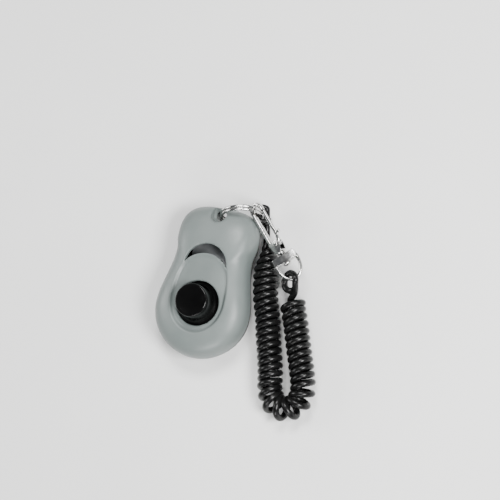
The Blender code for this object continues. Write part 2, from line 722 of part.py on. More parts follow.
def make_swivel():
    place = level_matrix()
    half = BLOCK_LENGTH / 2
    body = box("swivel_loop", (-BLOCK_WIDTH / 2, -half, -BLOCK_HEIGHT / 2),
               (BLOCK_WIDTH / 2, half, BLOCK_HEIGHT / 2), chrome(), place)
    wire = tube("cutter_swivel_wire", [place @ p for p in swivel_line()], SWIVEL_WIRE, chrome(), 10)
    flesh = bpy.data.meshes.new_from_object(wire.evaluated_get(bpy.context.evaluated_depsgraph_get()))
    bpy.data.objects.remove(wire, do_unlink=True)
    wire_mesh = bpy.data.objects.new("cutter_swivel_wire", flesh)
    bpy.context.scene.collection.objects.link(wire_mesh)
    boolean(body, wire_mesh, "UNION")
    hole = lathe_x("cutter_block_hole", [(1.0 * MM, -4 * MM), (1.0 * MM, 4 * MM)], None, 20, place)
    boolean(body, hole, "DIFFERENCE")
    return body


# ---------------------------------------------------------------- wrist cord

COIL_ROUTE = (
    (33.0, 0.9), (34.0, -3.4), (36.2, -8.5), (38.4, -14.6), (41.0, -21.5), (43.6, -28.5), (44.6, -33.5),
    (43.3, -38.2), (39.3, -40.6), (34.9, -39.4), (32.2, -35.2), (30.9, -29.5), (29.2, -23.0), (26.9, -15.8),
    (24.9, -8.4), (22.5, -1.5), (20.9, 5.5), (20.1, 10.8), (18.8, 15.4), (17.0, 19.3), (16.1, 22.2),
)
RING_LEAD = ((15.4, 26.6, 2.3), (15.8, 24.6, 1.5))
SWIVEL_TOUCH_DEG = -30.0
SWIVEL_LOOP_TILT_DEG = 42.0
RING_TOUCH_DEG = -17.0


def coil_line(count):
    """The coil's centre line and its share of its full radius, drawn in over its last turns."""
    level = through([(x * MM, y * MM, 0.0) for x, y in COIL_ROUTE], count)
    left = 0.0
    shares = []
    for i in range(count - 1, -1, -1):
        shares.append(COIL_TAPER_END + (1.0 - COIL_TAPER_END) * smooth(left / COIL_TAPER_LENGTH))
        left += (level[i] - level[i - 1]).length
    shares.reverse()
    return [Vector((p.x, p.y, COIL_Z * share)) for p, share in zip(level, shares)], shares


def loop_points(centre, toward, across, along_radius, across_radius, start_deg, sweep_deg, count):
    """Points round an oval loop, measured from the side that faces the coil."""
    points = []
    for i in range(count):
        angle = math.radians(start_deg + sweep_deg * i / (count - 1))
        along = toward * (along_radius * math.cos(angle))
        points.append(centre + along + across * (across_radius * math.sin(angle)))
    return points


def coil_ends():
    """The two ends of the coil's centre line and the directions that point out of them."""
    first, second = (Vector((x * MM, y * MM, COIL_Z)) for x, y in COIL_ROUTE[:2])
    before, last = (Vector((x * MM, y * MM, COIL_Z * COIL_TAPER_END)) for x, y in COIL_ROUTE[-2:])
    return (first, (first - second).normalized()), (last, (last - before).normalized())


def swivel_end_route():
    """The cord's loop round the swivel's wire, then its lead into the coil."""
    place = level_matrix()
    angle = math.radians(SWIVEL_TOUCH_DEG)
    touch = place @ Vector((-SWIVEL_STRAIGHT - (SWIVEL_REACH - SWIVEL_STRAIGHT) * math.cos(angle),
                            SWIVEL_HALF_WIDTH * math.sin(angle), 0.0))
    start, out = coil_ends()[0]
    toward = Vector((start.x - touch.x, start.y - touch.y, 0.0)).normalized()
    level = Vector((-toward.y, toward.x, 0.0))
    tilt = math.radians(SWIVEL_LOOP_TILT_DEG)
    across = level * math.cos(tilt) + Vector((0, 0, 1)) * math.sin(tilt)
    centre = touch + toward * 0.9 * MM
    route = loop_points(centre, toward, across, 3.2 * MM, 3.95 * MM, -55, -250, 16)
    route.append(start + out * 2.2 * MM + Vector((0, 0, 0.7 * MM)))
    route.append(start + out * CORD_END_GAP)
    return route


def ring_end_route():
    """The cord's other loop, round the split ring under the hook's nose, then its lead into the coil."""
    along, up, _ = ring_axes()
    angle = math.radians(RING_TOUCH_DEG)
    outward = along * math.cos(angle) + up * math.sin(angle)
    tangent = up * math.cos(angle) - along * math.sin(angle)
    across = tangent.cross(outward).normalized()
    centre = ring_point(RING_TOUCH_DEG) + outward * 0.45 * MM - ring_axes()[2] * 0.1 * MM
    route = loop_points(centre, outward, across, 2.5 * MM, 3.0 * MM, -35, -275, 16)
    route += [Vector(p) * MM for p in RING_LEAD]
    start, out = coil_ends()[1]
    route.append(start + out * CORD_END_GAP)
    return route


def make_cord():
    coil, shares = coil_line(72)
    tube("wrist_coil", coil, 2 * COIL_RADIUS, cord_plastic(), 12, shares)
    tube("cord_end_loop_swivel", through(swivel_end_route(), 34), CORD_DIAMETER, cord_plastic(), 8)
    tube("cord_end_loop_ring", through(ring_end_route(), 44), CORD_DIAMETER, cord_plastic(), 8)


clear_scene()
make_top_casing()
make_bottom_casing()
make_button()
make_screws()
make_reed()
make_reed_frame()
make_rivets()
make_split_ring()
make_hook_body()
make_gate()
make_gate_pin()
make_gate_spring()
make_stem()
make_swivel()
make_cord()
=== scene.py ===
"""Looks of the clicker trainer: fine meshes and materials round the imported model, in metres."""

import math

import bmesh
import bpy
from mathutils import Matrix, Vector


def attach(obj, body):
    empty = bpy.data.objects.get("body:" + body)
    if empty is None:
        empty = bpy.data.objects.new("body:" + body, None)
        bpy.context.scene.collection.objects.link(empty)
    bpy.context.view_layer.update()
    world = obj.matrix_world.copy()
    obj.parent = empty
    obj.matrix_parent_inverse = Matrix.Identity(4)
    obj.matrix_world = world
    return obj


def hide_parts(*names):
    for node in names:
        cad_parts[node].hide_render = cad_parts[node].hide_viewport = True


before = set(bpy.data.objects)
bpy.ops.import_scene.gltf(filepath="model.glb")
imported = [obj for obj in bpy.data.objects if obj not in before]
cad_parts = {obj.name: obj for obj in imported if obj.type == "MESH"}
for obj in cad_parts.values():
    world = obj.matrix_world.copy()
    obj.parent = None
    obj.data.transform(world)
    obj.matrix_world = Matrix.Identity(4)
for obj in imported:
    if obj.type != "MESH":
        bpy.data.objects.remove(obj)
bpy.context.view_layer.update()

MM = 0.001

# Casing, as in the model.
LOWER_HALF_WIDTH = 18.4 * MM
LOWER_CENTRE_Y = -11.0 * MM
LOWER_SEMI_HEIGHT = 17.9 * MM
WAIST_HALF_WIDTH = 14.7 * MM
WAIST_Y = 10.6 * MM
UPPER_HALF_WIDTH = 15.6 * MM
UPPER_CENTRE_Y = 16.0 * MM
UPPER_SEMI_HEIGHT = 12.9 * MM
UPPER_EXPONENT = 3.0
PARTING_Z = 6.0 * MM
GAP = 0.3 * MM
CASING_TOP_Z = 17.0 * MM
CROWN_EXPONENT = 3.2
TOP_WALL = 1.6 * MM
EGG_CENTRE_Y = -8.0 * MM
EGG_HALF_WIDTH = 10.8 * MM
EGG_LOW_REACH = 12.2 * MM
EGG_HIGH_REACH = 18.2 * MM
EGG_LOW_EXPONENT = 2.0
EGG_HIGH_EXPONENT = 2.6
EGG_DEPTH = 1.3 * MM
CRESCENT_HALF_SPAN = 8.5 * MM
CRESCENT_END_Y = 5.6 * MM
CRESCENT_OUTER_PEAK_Y = 13.7 * MM
CRESCENT_INNER_PEAK_Y = 9.9 * MM
CAVITY_END_Y = 21.5 * MM
BOTTOM_INSET = 0.8 * MM
BACK_CORNER_WIDTH = 3.0 * MM
BACK_CORNER_HEIGHT = 4.5 * MM
LANYARD_Y = 25.4 * MM
LANYARD_HOLE_RADIUS = 2.1 * MM
WEB_TOP_Z = 10.2 * MM
WEB_BOTTOM_Z = 6.2 * MM
RING_RELIEF_Z = 2.8 * MM
POCKET_HALF_WIDTH = 3.1 * MM
POCKET_REACH = 9.0 * MM
FILLET = 0.5 * MM
SCREW_PLACES = ((-10.7 * MM, 18.0 * MM), (10.7 * MM, 18.0 * MM), (0.0, -23.8 * MM))
SCREW_PROFILE = [(r * MM, z * MM) for r, z in
                 ((1.1, 0.40), (1.5, 0.42), (1.66, 0.52), (1.7, 0.7), (1.7, 1.0),
                  (0.8, 1.9), (0.8, 8.2), (0.2, 9.0))]
SIDE_WALL = 1.8 * MM
BACK_WALL = 1.6 * MM
TOOL_LOW_Z = -2 * MM
TOOL_HIGH_Z = 22 * MM

# Button.
BUTTON_Y = -9.0 * MM
BUTTON_HOLE_RADIUS = 8.5 * MM
BUTTON_TOP_Z = 22.4 * MM
BUTTON_RADIUS = 6.25 * MM
BUTTON_FLANGE_RADIUS = 9.8 * MM
BUTTON_FLANGE_TOP_Z = 12.9 * MM

# Split ring, hook, swivel.
RING_WIRE = 1.1 * MM
RING_RADIUS = 7.5 * MM
RING_PITCH = 1.25 * MM
RING_TURN_DEG = 16.0
RING_LEAN_DEG = 10.0
RING_Z = 8.8 * MM
RING_TURNS = 1.94
RING_START_DEG = 280.0
BLOCK_CENTRE = Vector((28.2, 13.9, 9.8)) * MM
HOOK_TURN_DEG = 132.3
HOOK_RISE_DEG = 4.1
HOOK_TILT_DEG = -30.0
BLOCK_LENGTH = 9.4 * MM
BLOCK_WIDTH = 3.0 * MM
NECK_START = 1.8 * MM
BOW_HALF_WIDTH = 2.45 * MM
BOW_BAR = 1.5 * MM
BOW_THICKNESS = 2.0 * MM
NOSE_CENTRE = 21.4 * MM
GATE_PIVOT = Vector((6.3, 0.9, 0.0)) * MM
SWIVEL_WIRE = 1.3 * MM
SWIVEL_HALF_WIDTH = 4.45 * MM
SWIVEL_REACH = 8.5 * MM
SWIVEL_STRAIGHT = 2.6 * MM

# Wrist cord: the coil's centre line and the leads at its two ends.
CORD_DIAMETER = 2.5 * MM
HELIX_RADIUS = 3.65 * MM
HELIX_PITCH = 2.72 * MM
STRAND_SHEAR_DEG = 6.0
BEND_PITCH = 3.7 * MM
POINTS_PER_TURN = 14
COIL_Z = 4.95 * MM
COIL_TAPER_LENGTH = 15.0 * MM
COIL_TAPER_END = 0.32
COIL_START_LENGTH = 2.5 * MM
COIL_START_SHARE = 0.4
BEND_RADIUS = 6.5 * MM
BEND_NEAR = 4
BEND_FAR = 40
COIL_ROUTE = (
    (33.0, 0.9), (34.0, -3.4), (36.2, -8.5), (38.4, -14.6), (41.0, -21.5), (43.6, -28.5), (44.6, -33.5),
    (43.3, -38.2), (39.3, -40.6), (34.9, -39.4), (32.2, -35.2), (30.9, -29.5), (29.2, -23.0), (26.9, -15.8),
    (24.9, -8.4), (22.5, -1.5), (20.9, 5.5), (20.1, 10.8), (18.8, 15.4), (17.0, 19.3), (16.1, 22.2),
)
RING_LEAD = ((15.4, 26.6, 2.3), (15.8, 24.6, 1.5))
SWIVEL_TOUCH_DEG = -30.0
SWIVEL_LOOP_TILT_DEG = 42.0
SWIVEL_LOOP_OFFSET = 0.9 * MM
SWIVEL_LOOP_RADII = (3.2 * MM, 3.95 * MM)
TUCK_DROP = 2.0 * MM
TUCK_POINTS = 6
RING_TOUCH_DEG = -17.0
RING_LOOP_OFFSET = 0.45 * MM
RING_LOOP_SINK = 0.1 * MM
RING_LOOP_RADII = (2.5 * MM, 3.0 * MM)

# Camera: almost straight above the casing, a little to its right and its lower end.
VIEW_TARGET = Vector((13.6, 14.9, 9.0)) * MM
VIEW_SIDE_DEG = 20.5
VIEW_LOW_DEG = 7.0
VIEW_ROLL_DEG = 13.35
VIEW_WIDTH = 187.5 * MM
VIEW_DISTANCE = 0.8

# Studio: each area light has its name, place, width and height in metres, and power in watts.
FLOOR_HALF_SIZE = 1.2
FLOOR_Z = -0.05 * MM
WORLD_COLOUR = (0.92, 0.96, 1.0, 1.0)
WORLD_STRENGTH = 0.13
LIGHTS = (
    ("key", (0.42, -0.06, 0.45), (0.24, 0.18), 7.0),
    ("overhead", (0.05, 0.35, 0.62), (0.3, 0.2), 5.0),
    ("fill", (-0.5, 0.0, 0.3), (0.25, 0.25), 2.0),
    ("edge", (0.12, -0.5, 0.28), (0.3, 0.06), 2.0),
)


def smooth(t):
    t = min(max(t, 0.0), 1.0)
    return t * t * (3.0 - 2.0 * t)


def catmull(points, steps=24):
    """Fine points of a smooth curve through the given ones."""
    places = [Vector(p) for p in points]
    ends = [places[0] * 2 - places[1]] + places + [places[-1] * 2 - places[-2]]
    fine = []
    for k in range(1, len(ends) - 2):
        a, b, c, d = ends[k - 1:k + 3]
        for step in range(steps):
            t = step / steps
            fine.append(0.5 * (2 * b + (c - a) * t + (2 * a - 5 * b + 4 * c - d) * t * t
                               + (3 * b - a - 3 * c + d) * t ** 3))
    fine.append(places[-1])
    return fine


def even_points(fine, count):
    """The given number of evenly spaced points along a fine poly line."""
    travelled = [0.0]
    for before, after in zip(fine, fine[1:]):
        travelled.append(travelled[-1] + (after - before).length)
    even = []
    k = 0
    for i in range(count):
        goal = travelled[-1] * i / (count - 1)
        while k < len(fine) - 2 and travelled[k + 1] < goal:
            k += 1
        span = max(travelled[k + 1] - travelled[k], 1e-12)
        even.append(fine[k].lerp(fine[k + 1], min((goal - travelled[k]) / span, 1.0)))
    return even


def line_length(points):
    return sum((b - a).length for a, b in zip(points, points[1:]))


# ---------------------------------------------------------------- camera

def make_camera():
    side = math.radians(VIEW_SIDE_DEG)
    low = math.radians(VIEW_LOW_DEG)
    back = Vector((math.sin(side), -math.sin(low), math.cos(side) * math.cos(low))).normalized()
    roll = math.radians(VIEW_ROLL_DEG)
    up = Vector((-math.sin(roll), math.cos(roll), 0.0))
    up = (up - back * up.dot(back)).normalized()
    right = up.cross(back)
    data = bpy.data.cameras.new("view_camera")
    data.sensor_fit = "HORIZONTAL"
    data.angle = 2 * math.atan(VIEW_WIDTH / 2 / VIEW_DISTANCE)
    data.clip_start = 0.01
    camera = bpy.data.objects.new("view_camera", data)
    axes = Matrix((right, up, back)).transposed().to_4x4()
    camera.matrix_world = Matrix.Translation(VIEW_TARGET + back * VIEW_DISTANCE) @ axes
    bpy.context.scene.collection.objects.link(camera)
    bpy.context.scene.camera = camera


make_camera()


# ---------------------------------------------------------------- axes shared with the model

def ring_axes():
    turn = math.radians(RING_TURN_DEG)
    lean = math.radians(RING_LEAN_DEG)
    along = Vector((math.cos(turn), math.sin(turn), 0.0))
    side = Vector((-math.sin(turn), math.cos(turn), 0.0))
    up = side * math.sin(lean) + Vector((0.0, 0.0, math.cos(lean)))
    return along, up, along.cross(up)


def ring_place(degrees, radius=RING_RADIUS):
    along, up, _ = ring_axes()
    centre = Vector((0.0, LANYARD_Y, RING_Z)) + along * (RING_RADIUS - 0.15 * MM)
    angle = math.radians(degrees)
    return centre + (along * math.cos(angle) + up * math.sin(angle)) * radius


def hook_matrix():
    """Local X towards the nose, local Y across to the gate, origin at the swivel block."""
    turn = math.radians(HOOK_TURN_DEG)
    rise = math.radians(HOOK_RISE_DEG)
    x = Vector((math.cos(turn) * math.cos(rise), math.sin(turn) * math.cos(rise), math.sin(rise)))
    level = Vector((math.sin(turn), -math.cos(turn), 0.0))
    z = x.cross(level).normalized()
    tilt = math.radians(HOOK_TILT_DEG)
    y = level * math.cos(tilt) + z * math.sin(tilt)
    z = x.cross(y).normalized()
    return Matrix.Translation(BLOCK_CENTRE) @ Matrix((x, y, z)).transposed().to_4x4()


def level_matrix():
    return hook_matrix() @ Matrix.Rotation(-math.radians(HOOK_TILT_DEG), 4, "X")


# ---------------------------------------------------------------- materials

class Look:
    """A Principled material under construction, with short calls for its nodes."""

    def __init__(self, name, colour, roughness, metallic=0.0):
        self.material = bpy.data.materials.new(name)
        self.material.use_nodes = True
        self.nodes = self.material.node_tree.nodes
        self.links = self.material.node_tree.links
        self.shader = self.nodes["Principled BSDF"]
        self.shader.inputs["Base Color"].default_value = (*colour, 1.0)
        self.shader.inputs["Roughness"].default_value = roughness
        self.shader.inputs["Metallic"].default_value = metallic
        self.place = self.nodes.new("ShaderNodeTexCoord").outputs["Object"]

    def noise(self, scale, detail=4.0, rough=0.55, stretch=None):
        source = self.place
        if stretch:
            mapping = self.nodes.new("ShaderNodeMapping")
            mapping.inputs["Scale"].default_value = stretch
            self.links.new(source, mapping.inputs["Vector"])
            source = mapping.outputs["Vector"]
        node = self.nodes.new("ShaderNodeTexNoise")
        node.inputs["Scale"].default_value = scale
        node.inputs["Detail"].default_value = detail
        node.inputs["Roughness"].default_value = rough
        self.links.new(source, node.inputs["Vector"])
        return node.outputs["Fac"]

    def spots(self, scale):
        node = self.nodes.new("ShaderNodeTexVoronoi")
        node.inputs["Scale"].default_value = scale
        self.links.new(self.place, node.inputs["Vector"])
        return node.outputs["Distance"]

    def ramp(self, source, stops):
        node = self.nodes.new("ShaderNodeValToRGB")
        for k, (place, value) in enumerate(stops):
            point = node.color_ramp.elements[k] if k < 2 else node.color_ramp.elements.new(place)
            point.position = place
            shade = value if isinstance(value, tuple) else (value, value, value)
            point.color = (*shade, 1.0)
        self.links.new(source, node.inputs["Fac"])
        return node.outputs["Color"]

    def colour(self, source, stops):
        self.links.new(self.ramp(source, stops), self.shader.inputs["Base Color"])

    def roughness(self, source, low, high):
        self.links.new(self.ramp(source, ((0.3, low), (0.7, high))), self.shader.inputs["Roughness"])

    def bumps(self, *layers):
        """Each layer is a height source with its strength and distance in metres."""
        normal = None
        for source, strength, distance in layers:
            node = self.nodes.new("ShaderNodeBump")
            node.inputs["Strength"].default_value = strength
            node.inputs["Distance"].default_value = distance
            self.links.new(source, node.inputs["Height"])
            if normal:
                self.links.new(normal, node.inputs["Normal"])
            normal = node.outputs["Normal"]
        self.links.new(normal, self.shader.inputs["Normal"])


def grey_plastic():
    """Soft satin moulding: faint cloudiness, a spark-eroded grain and a few rubbed patches."""
    look = Look("grey_plastic", (0.127, 0.147, 0.143), 0.42)
    cloud = look.noise(70.0, 5.0)
    look.colour(cloud, ((0.25, (0.116, 0.137, 0.132)), (0.75, (0.138, 0.158, 0.152))))
    look.roughness(look.noise(180.0, 6.0), 0.34, 0.50)
    look.bumps((look.noise(9000.0, 2.0), 0.12, 0.00004), (look.noise(500.0, 2.0), 0.10, 0.00008))
    look.shader.inputs["Specular IOR Level"].default_value = 0.5
    return look.material


def black_plastic():
    look = Look("black_plastic", (0.012, 0.012, 0.013), 0.45)
    look.colour(look.noise(120.0, 5.0), ((0.3, (0.009, 0.009, 0.010)), (0.7, (0.020, 0.020, 0.021))))
    look.roughness(look.noise(260.0, 6.0), 0.38, 0.55)
    look.bumps((look.noise(7000.0, 2.0), 0.2, 0.00005))
    return look.material


def gloss_button():
    """Polished black plastic with finger smears and hair-fine scratches."""
    look = Look("gloss_button", (0.006, 0.006, 0.007), 0.10)
    look.colour(look.noise(90.0, 3.0), ((0.3, (0.001, 0.001, 0.001)), (0.7, (0.003, 0.003, 0.003))))
    look.roughness(look.noise(220.0, 7.0), 0.05, 0.17)
    look.bumps((look.noise(900.0, 3.0, 0.5, (1.0, 9.0, 1.0)), 0.05, 0.00003))
    look.shader.inputs["Specular IOR Level"].default_value = 0.18
    return look.material


def nickel_plate():
    """Bright plate over a cast surface: slow waviness, pits and a warm grey tint in places."""
    look = Look("nickel_plate", (0.60, 0.60, 0.60), 0.12, 1.0)
    look.colour(look.noise(500.0, 4.0), ((0.25, (0.50, 0.49, 0.47)), (0.7, (0.66, 0.66, 0.66))))
    look.roughness(look.noise(700.0, 6.0), 0.14, 0.26)
    look.bumps((look.noise(500.0, 2.0), 0.03, 0.00004), (look.spots(2600.0), 0.02, 0.00001))
    return look.material


def rolled_steel():
    """Spring steel with rolling lines along the strip."""
    look = Look("rolled_steel", (0.31, 0.32, 0.33), 0.4, 0.85)
    look.colour(look.noise(300.0, 6.0), ((0.3, (0.26, 0.27, 0.28)), (0.7, (0.36, 0.37, 0.38))))
    look.roughness(look.noise(2500.0, 4.0, 0.6, (6.0, 0.3, 1.0)), 0.32, 0.55)
    look.bumps((look.noise(3000.0, 3.0, 0.6, (6.0, 0.3, 1.0)), 0.25, 0.00003))
    return look.material


def cord_plastic():
    """Extruded black plastic: semi-gloss, with slight draw marks and a faint mottled tone."""
    look = Look("cord_plastic", (0.012, 0.012, 0.012), 0.28)
    look.colour(look.noise(220.0, 6.0), ((0.3, (0.003, 0.003, 0.003)), (0.72, (0.006, 0.006, 0.006))))
    look.roughness(look.noise(400.0, 6.0), 0.20, 0.32)
    look.shader.inputs["Specular IOR Level"].default_value = 0.22
    look.bumps((look.noise(600.0, 4.0), 0.18, 0.00008), (look.noise(5000.0, 2.0), 0.08, 0.00003))
    return look.material


def pale_floor():
    look = Look("pale_floor", (0.80, 0.80, 0.79), 0.6)
    look.colour(look.noise(14.0, 5.0), ((0.3, (0.79, 0.79, 0.78)), (0.7, (0.82, 0.82, 0.81))))
    look.bumps((look.noise(1500.0, 3.0), 0.05, 0.00005))
    return look.material


GREY = grey_plastic()
BLACK = black_plastic()
GLOSS = gloss_button()
NICKEL = nickel_plate()
STEEL = rolled_steel()
CORD = cord_plastic()


# ---------------------------------------------------------------- wrist cord

def coil_centre_line(count):
    return even_points(catmull([(x * MM, y * MM, COIL_Z) for x, y in COIL_ROUTE]), count)


def coil_turns():
    """The helix round the coil's centre line: opened round the bend, drawn in at both ends."""
    line = coil_centre_line(1200)
    end = len(line) - 1
    up = Vector((0, 0, 1))
    step = line_length(line) / end
    angle = 0.0
    fine = []
    for i, place in enumerate(line):
        along = (line[min(i + 8, end)] - line[max(i - 8, 0)]).normalized()
        margin = BEND_NEAR + BEND_FAR
        before = (line[i - BEND_NEAR] - line[i - BEND_FAR]) if i > margin else along
        after = (line[i + BEND_FAR] - line[i + BEND_NEAR]) if i < end - margin else along
        turn = before.angle(after) / ((BEND_FAR - BEND_NEAR) * step)
        pitch = HELIX_PITCH + (BEND_PITCH - HELIX_PITCH) * smooth(turn * BEND_RADIUS)
        angle += 2 * math.pi * step / pitch
        left_over = (end - i) * step
        full = COIL_TAPER_END + (1.0 - COIL_TAPER_END) * smooth(left_over / COIL_TAPER_LENGTH)
        radius = (HELIX_RADIUS + CORD_DIAMETER / 2) * full - CORD_DIAMETER / 2
        radius *= COIL_START_SHARE + (1.0 - COIL_START_SHARE) * smooth(i * step / COIL_START_LENGTH)
        place = Vector((place.x, place.y, COIL_Z * full))
        left = up.cross(along)
        lean = along * (-math.cos(angle) * math.tan(math.radians(STRAND_SHEAR_DEG)))
        fine.append(place + (left * math.cos(angle) + up * math.sin(angle) + lean) * radius)
    turns = angle / (2 * math.pi)
    count = int(turns * POINTS_PER_TURN)
    return even_points(fine, count)


def loop_points(centre, toward, across, along_radius, across_radius, start_deg, sweep_deg, count):
    points = []
    for i in range(count):
        angle = math.radians(start_deg + sweep_deg * i / (count - 1))
        along = toward * (along_radius * math.cos(angle))
        points.append(centre + along + across * (across_radius * math.sin(angle)))
    return points


def swivel_end_route():
    """The loop round the swivel's wire, from its tucked end to the coil."""
    place = level_matrix()
    angle = math.radians(SWIVEL_TOUCH_DEG)
    touch = place @ Vector((-SWIVEL_STRAIGHT - (SWIVEL_REACH - SWIVEL_STRAIGHT) * math.cos(angle),
                            SWIVEL_HALF_WIDTH * math.sin(angle), 0.0))
    start = Vector((COIL_ROUTE[0][0] * MM, COIL_ROUTE[0][1] * MM, COIL_Z))
    toward = Vector((start.x - touch.x, start.y - touch.y, 0.0)).normalized()
    level = Vector((-toward.y, toward.x, 0.0))
    tilt = math.radians(SWIVEL_LOOP_TILT_DEG)
    across = level * math.cos(tilt) + Vector((0, 0, 1)) * math.sin(tilt)
    centre = touch + toward * SWIVEL_LOOP_OFFSET
    route = loop_points(centre, toward, across, *SWIVEL_LOOP_RADII, 18, -323, 24)
    for i in range(TUCK_POINTS):
        route[i].z -= TUCK_DROP * (1.0 - smooth(i / (TUCK_POINTS - 1)))
    return route


def ring_end_route():
    """The loop round the split ring, from its tucked end to the lead."""
    along, up, normal = ring_axes()
    angle = math.radians(RING_TOUCH_DEG)
    outward = along * math.cos(angle) + up * math.sin(angle)
    tangent = up * math.cos(angle) - along * math.sin(angle)
    across = tangent.cross(outward).normalized()
    centre = ring_place(RING_TOUCH_DEG) + outward * RING_LOOP_OFFSET - normal * RING_LOOP_SINK
    route = loop_points(centre, outward, across, *RING_LOOP_RADII, -25, -285, 20)
    return route + [Vector(p) * MM for p in RING_LEAD]


def relax(points, middle, reach, rounds):
    """Ease the line either side of a join, so that it carries no kink."""
    for _ in range(rounds):
        for i in range(max(middle - reach, 1), min(middle + reach, len(points) - 2)):
            points[i] = (points[i - 1] + points[i] * 2 + points[i + 1]) / 4


def poly_curve(name, points, diameter, look, resolution):
    data = bpy.data.curves.new(name, "CURVE")
    data.dimensions = "3D"
    data.bevel_depth = diameter / 2
    data.bevel_resolution = resolution
    data.use_fill_caps = True
    spline = data.splines.new("POLY")
    spline.points.add(len(points) - 1)
    for target, place in zip(spline.points, points):
        target.co = (*place, 1.0)
    spline.use_smooth = True
    data.materials.append(look)
    made = bpy.data.objects.new(name, data)
    bpy.context.scene.collection.objects.link(made)
    return made


def make_cord():
    turns = coil_turns()
    first = even_points(catmull(swivel_end_route() + turns[:1]), 18)
    last = even_points(catmull(turns[-1:] + ring_end_route()[::-1]), 26)
    controls = first[:-1] + turns + last[1:]
    for join in (len(first), len(first) + len(turns) - 1):
        relax(controls, join, 6, 8)
    points = catmull(controls, 2)
    cord = poly_curve("wrist_cord", points, CORD_DIAMETER, CORD, 4)
    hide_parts("wrist_coil", "cord_end_loop_swivel", "cord_end_loop_ring")
    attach(cord, "cord")
    print("cord length", round(line_length(points), 4), "points", len(points))
    return cord


make_cord()


# ---------------------------------------------------------------- mesh tools

def link_mesh(name, points, faces, look, sharp_deg=40.0):
    mesh = bpy.data.meshes.new(name)
    mesh.from_pydata([tuple(p) for p in points], [], faces)
    bm = bmesh.new()
    bm.from_mesh(mesh)
    bmesh.ops.recalc_face_normals(bm, faces=bm.faces)
    bm.to_mesh(mesh)
    bm.free()
    if look:
        mesh.materials.append(look)
    mesh.shade_smooth()
    mesh.set_sharp_from_angle(angle=math.radians(sharp_deg))
    made = bpy.data.objects.new(name, mesh)
    bpy.context.scene.collection.objects.link(made)
    return made


def rings_object(name, rings, look, sharp_deg=40.0, place=None):
    """A closed solid through rings of equal point counts, capped at both ends."""
    count = len(rings[0])
    points = [Vector(p) for ring in rings for p in ring]
    if place is not None:
        points = [place @ p for p in points]
    faces = []
    for level in range(len(rings) - 1):
        low = level * count
        high = low + count
        for i in range(count):
            j = (i + 1) % count
            faces.append((low + i, low + j, high + j, high + i))
    faces.append(tuple(reversed(range(count))))
    last = (len(rings) - 1) * count
    faces.append(tuple(range(last, last + count)))
    return link_mesh(name, points, faces, look, sharp_deg)


def turned(name, profile, look, segments=96, place=None, sharp_deg=40.0):
    rings = []
    for radius, z in profile:
        rings.append([(radius * math.cos(2 * math.pi * i / segments),
                       radius * math.sin(2 * math.pi * i / segments), z) for i in range(segments)])
    return rings_object(name, rings, look, sharp_deg, place)


def prism(name, outline, z_low, z_high, look, place=None):
    rings = [[(x, y, z) for x, y in outline] for z in (z_low, z_high)]
    return rings_object(name, rings, look, 40.0, place)


def box(name, low, high, look, place=None):
    outline = [(low[0], low[1]), (high[0], low[1]), (high[0], high[1]), (low[0], high[1])]
    return prism(name, outline, low[2], high[2], look, place)


def apply_modifiers(thing):
    graph = bpy.context.evaluated_depsgraph_get()
    fresh = bpy.data.meshes.new_from_object(thing.evaluated_get(graph))
    thing.modifiers.clear()
    thing.data = fresh


def cut(target, *tools, operation="DIFFERENCE"):
    """Cut the tools out of the target, or join them to it, and remove them."""
    for tool in tools:
        change = target.modifiers.new("cut", "BOOLEAN")
        change.operation = operation
        change.object = tool
        change.solver = "EXACT"
        apply_modifiers(target)
        bpy.data.objects.remove(tool, do_unlink=True)
    target.data.shade_smooth()
    target.data.set_sharp_from_angle(angle=math.radians(38.0))


def soften(thing, width, segments=3, angle_deg=35.0):
    """Round the sharp edges, as casting and plating do."""
    change = thing.modifiers.new("edges", "BEVEL")
    change.width = width
    change.segments = segments
    change.limit_method = "ANGLE"
    change.angle_limit = math.radians(angle_deg)
    change.harden_normals = False
    apply_modifiers(thing)
    thing.data.shade_smooth()
    thing.data.set_sharp_from_angle(angle=math.radians(50.0))


def sweep(name, line, look, width, height, normal, sides=20, squareness=2.6, taper=None):
    """A bar with a rounded section along a line; normal is the direction of its height."""
    rings = []
    for i, place in enumerate(line):
        before, after = line[max(i - 1, 0)], line[min(i + 1, len(line) - 1)]
        along = (after - before).normalized()
        up = (normal - along * normal.dot(along)).normalized()
        side = up.cross(along)
        size = taper(i / (len(line) - 1)) if taper else 1.0
        ring = []
        for k in range(sides):
            angle = 2 * math.pi * k / sides
            c, s = math.cos(angle), math.sin(angle)
            u = math.copysign(abs(c) ** (2 / squareness), c) * width / 2 * size
            v = math.copysign(abs(s) ** (2 / squareness), s) * height / 2 * size
            ring.append(place + side * u + up * v)
        rings.append(ring)
    return rings_object(name, rings, look, 60.0)


def part_of(piece, body, slot, *nodes):
    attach(piece, body)
    if nodes:
        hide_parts(*nodes)
    return piece


# ---------------------------------------------------------------- casing

def half_width(y):
    if y < LOWER_CENTRE_Y:
        ratio = min((LOWER_CENTRE_Y - y) / LOWER_SEMI_HEIGHT, 1.0)
        return LOWER_HALF_WIDTH * math.sqrt(1.0 - ratio * ratio)
    if y < WAIST_Y:
        t = smooth((y - LOWER_CENTRE_Y) / (WAIST_Y - LOWER_CENTRE_Y))
        return LOWER_HALF_WIDTH + (WAIST_HALF_WIDTH - LOWER_HALF_WIDTH) * t
    if y < UPPER_CENTRE_Y:
        t = smooth((y - WAIST_Y) / (UPPER_CENTRE_Y - WAIST_Y))
        return WAIST_HALF_WIDTH + (UPPER_HALF_WIDTH - WAIST_HALF_WIDTH) * t
    ratio = min((y - UPPER_CENTRE_Y) / UPPER_SEMI_HEIGHT, 1.0)
    return UPPER_HALF_WIDTH * (1.0 - ratio ** UPPER_EXPONENT) ** (1.0 / UPPER_EXPONENT)


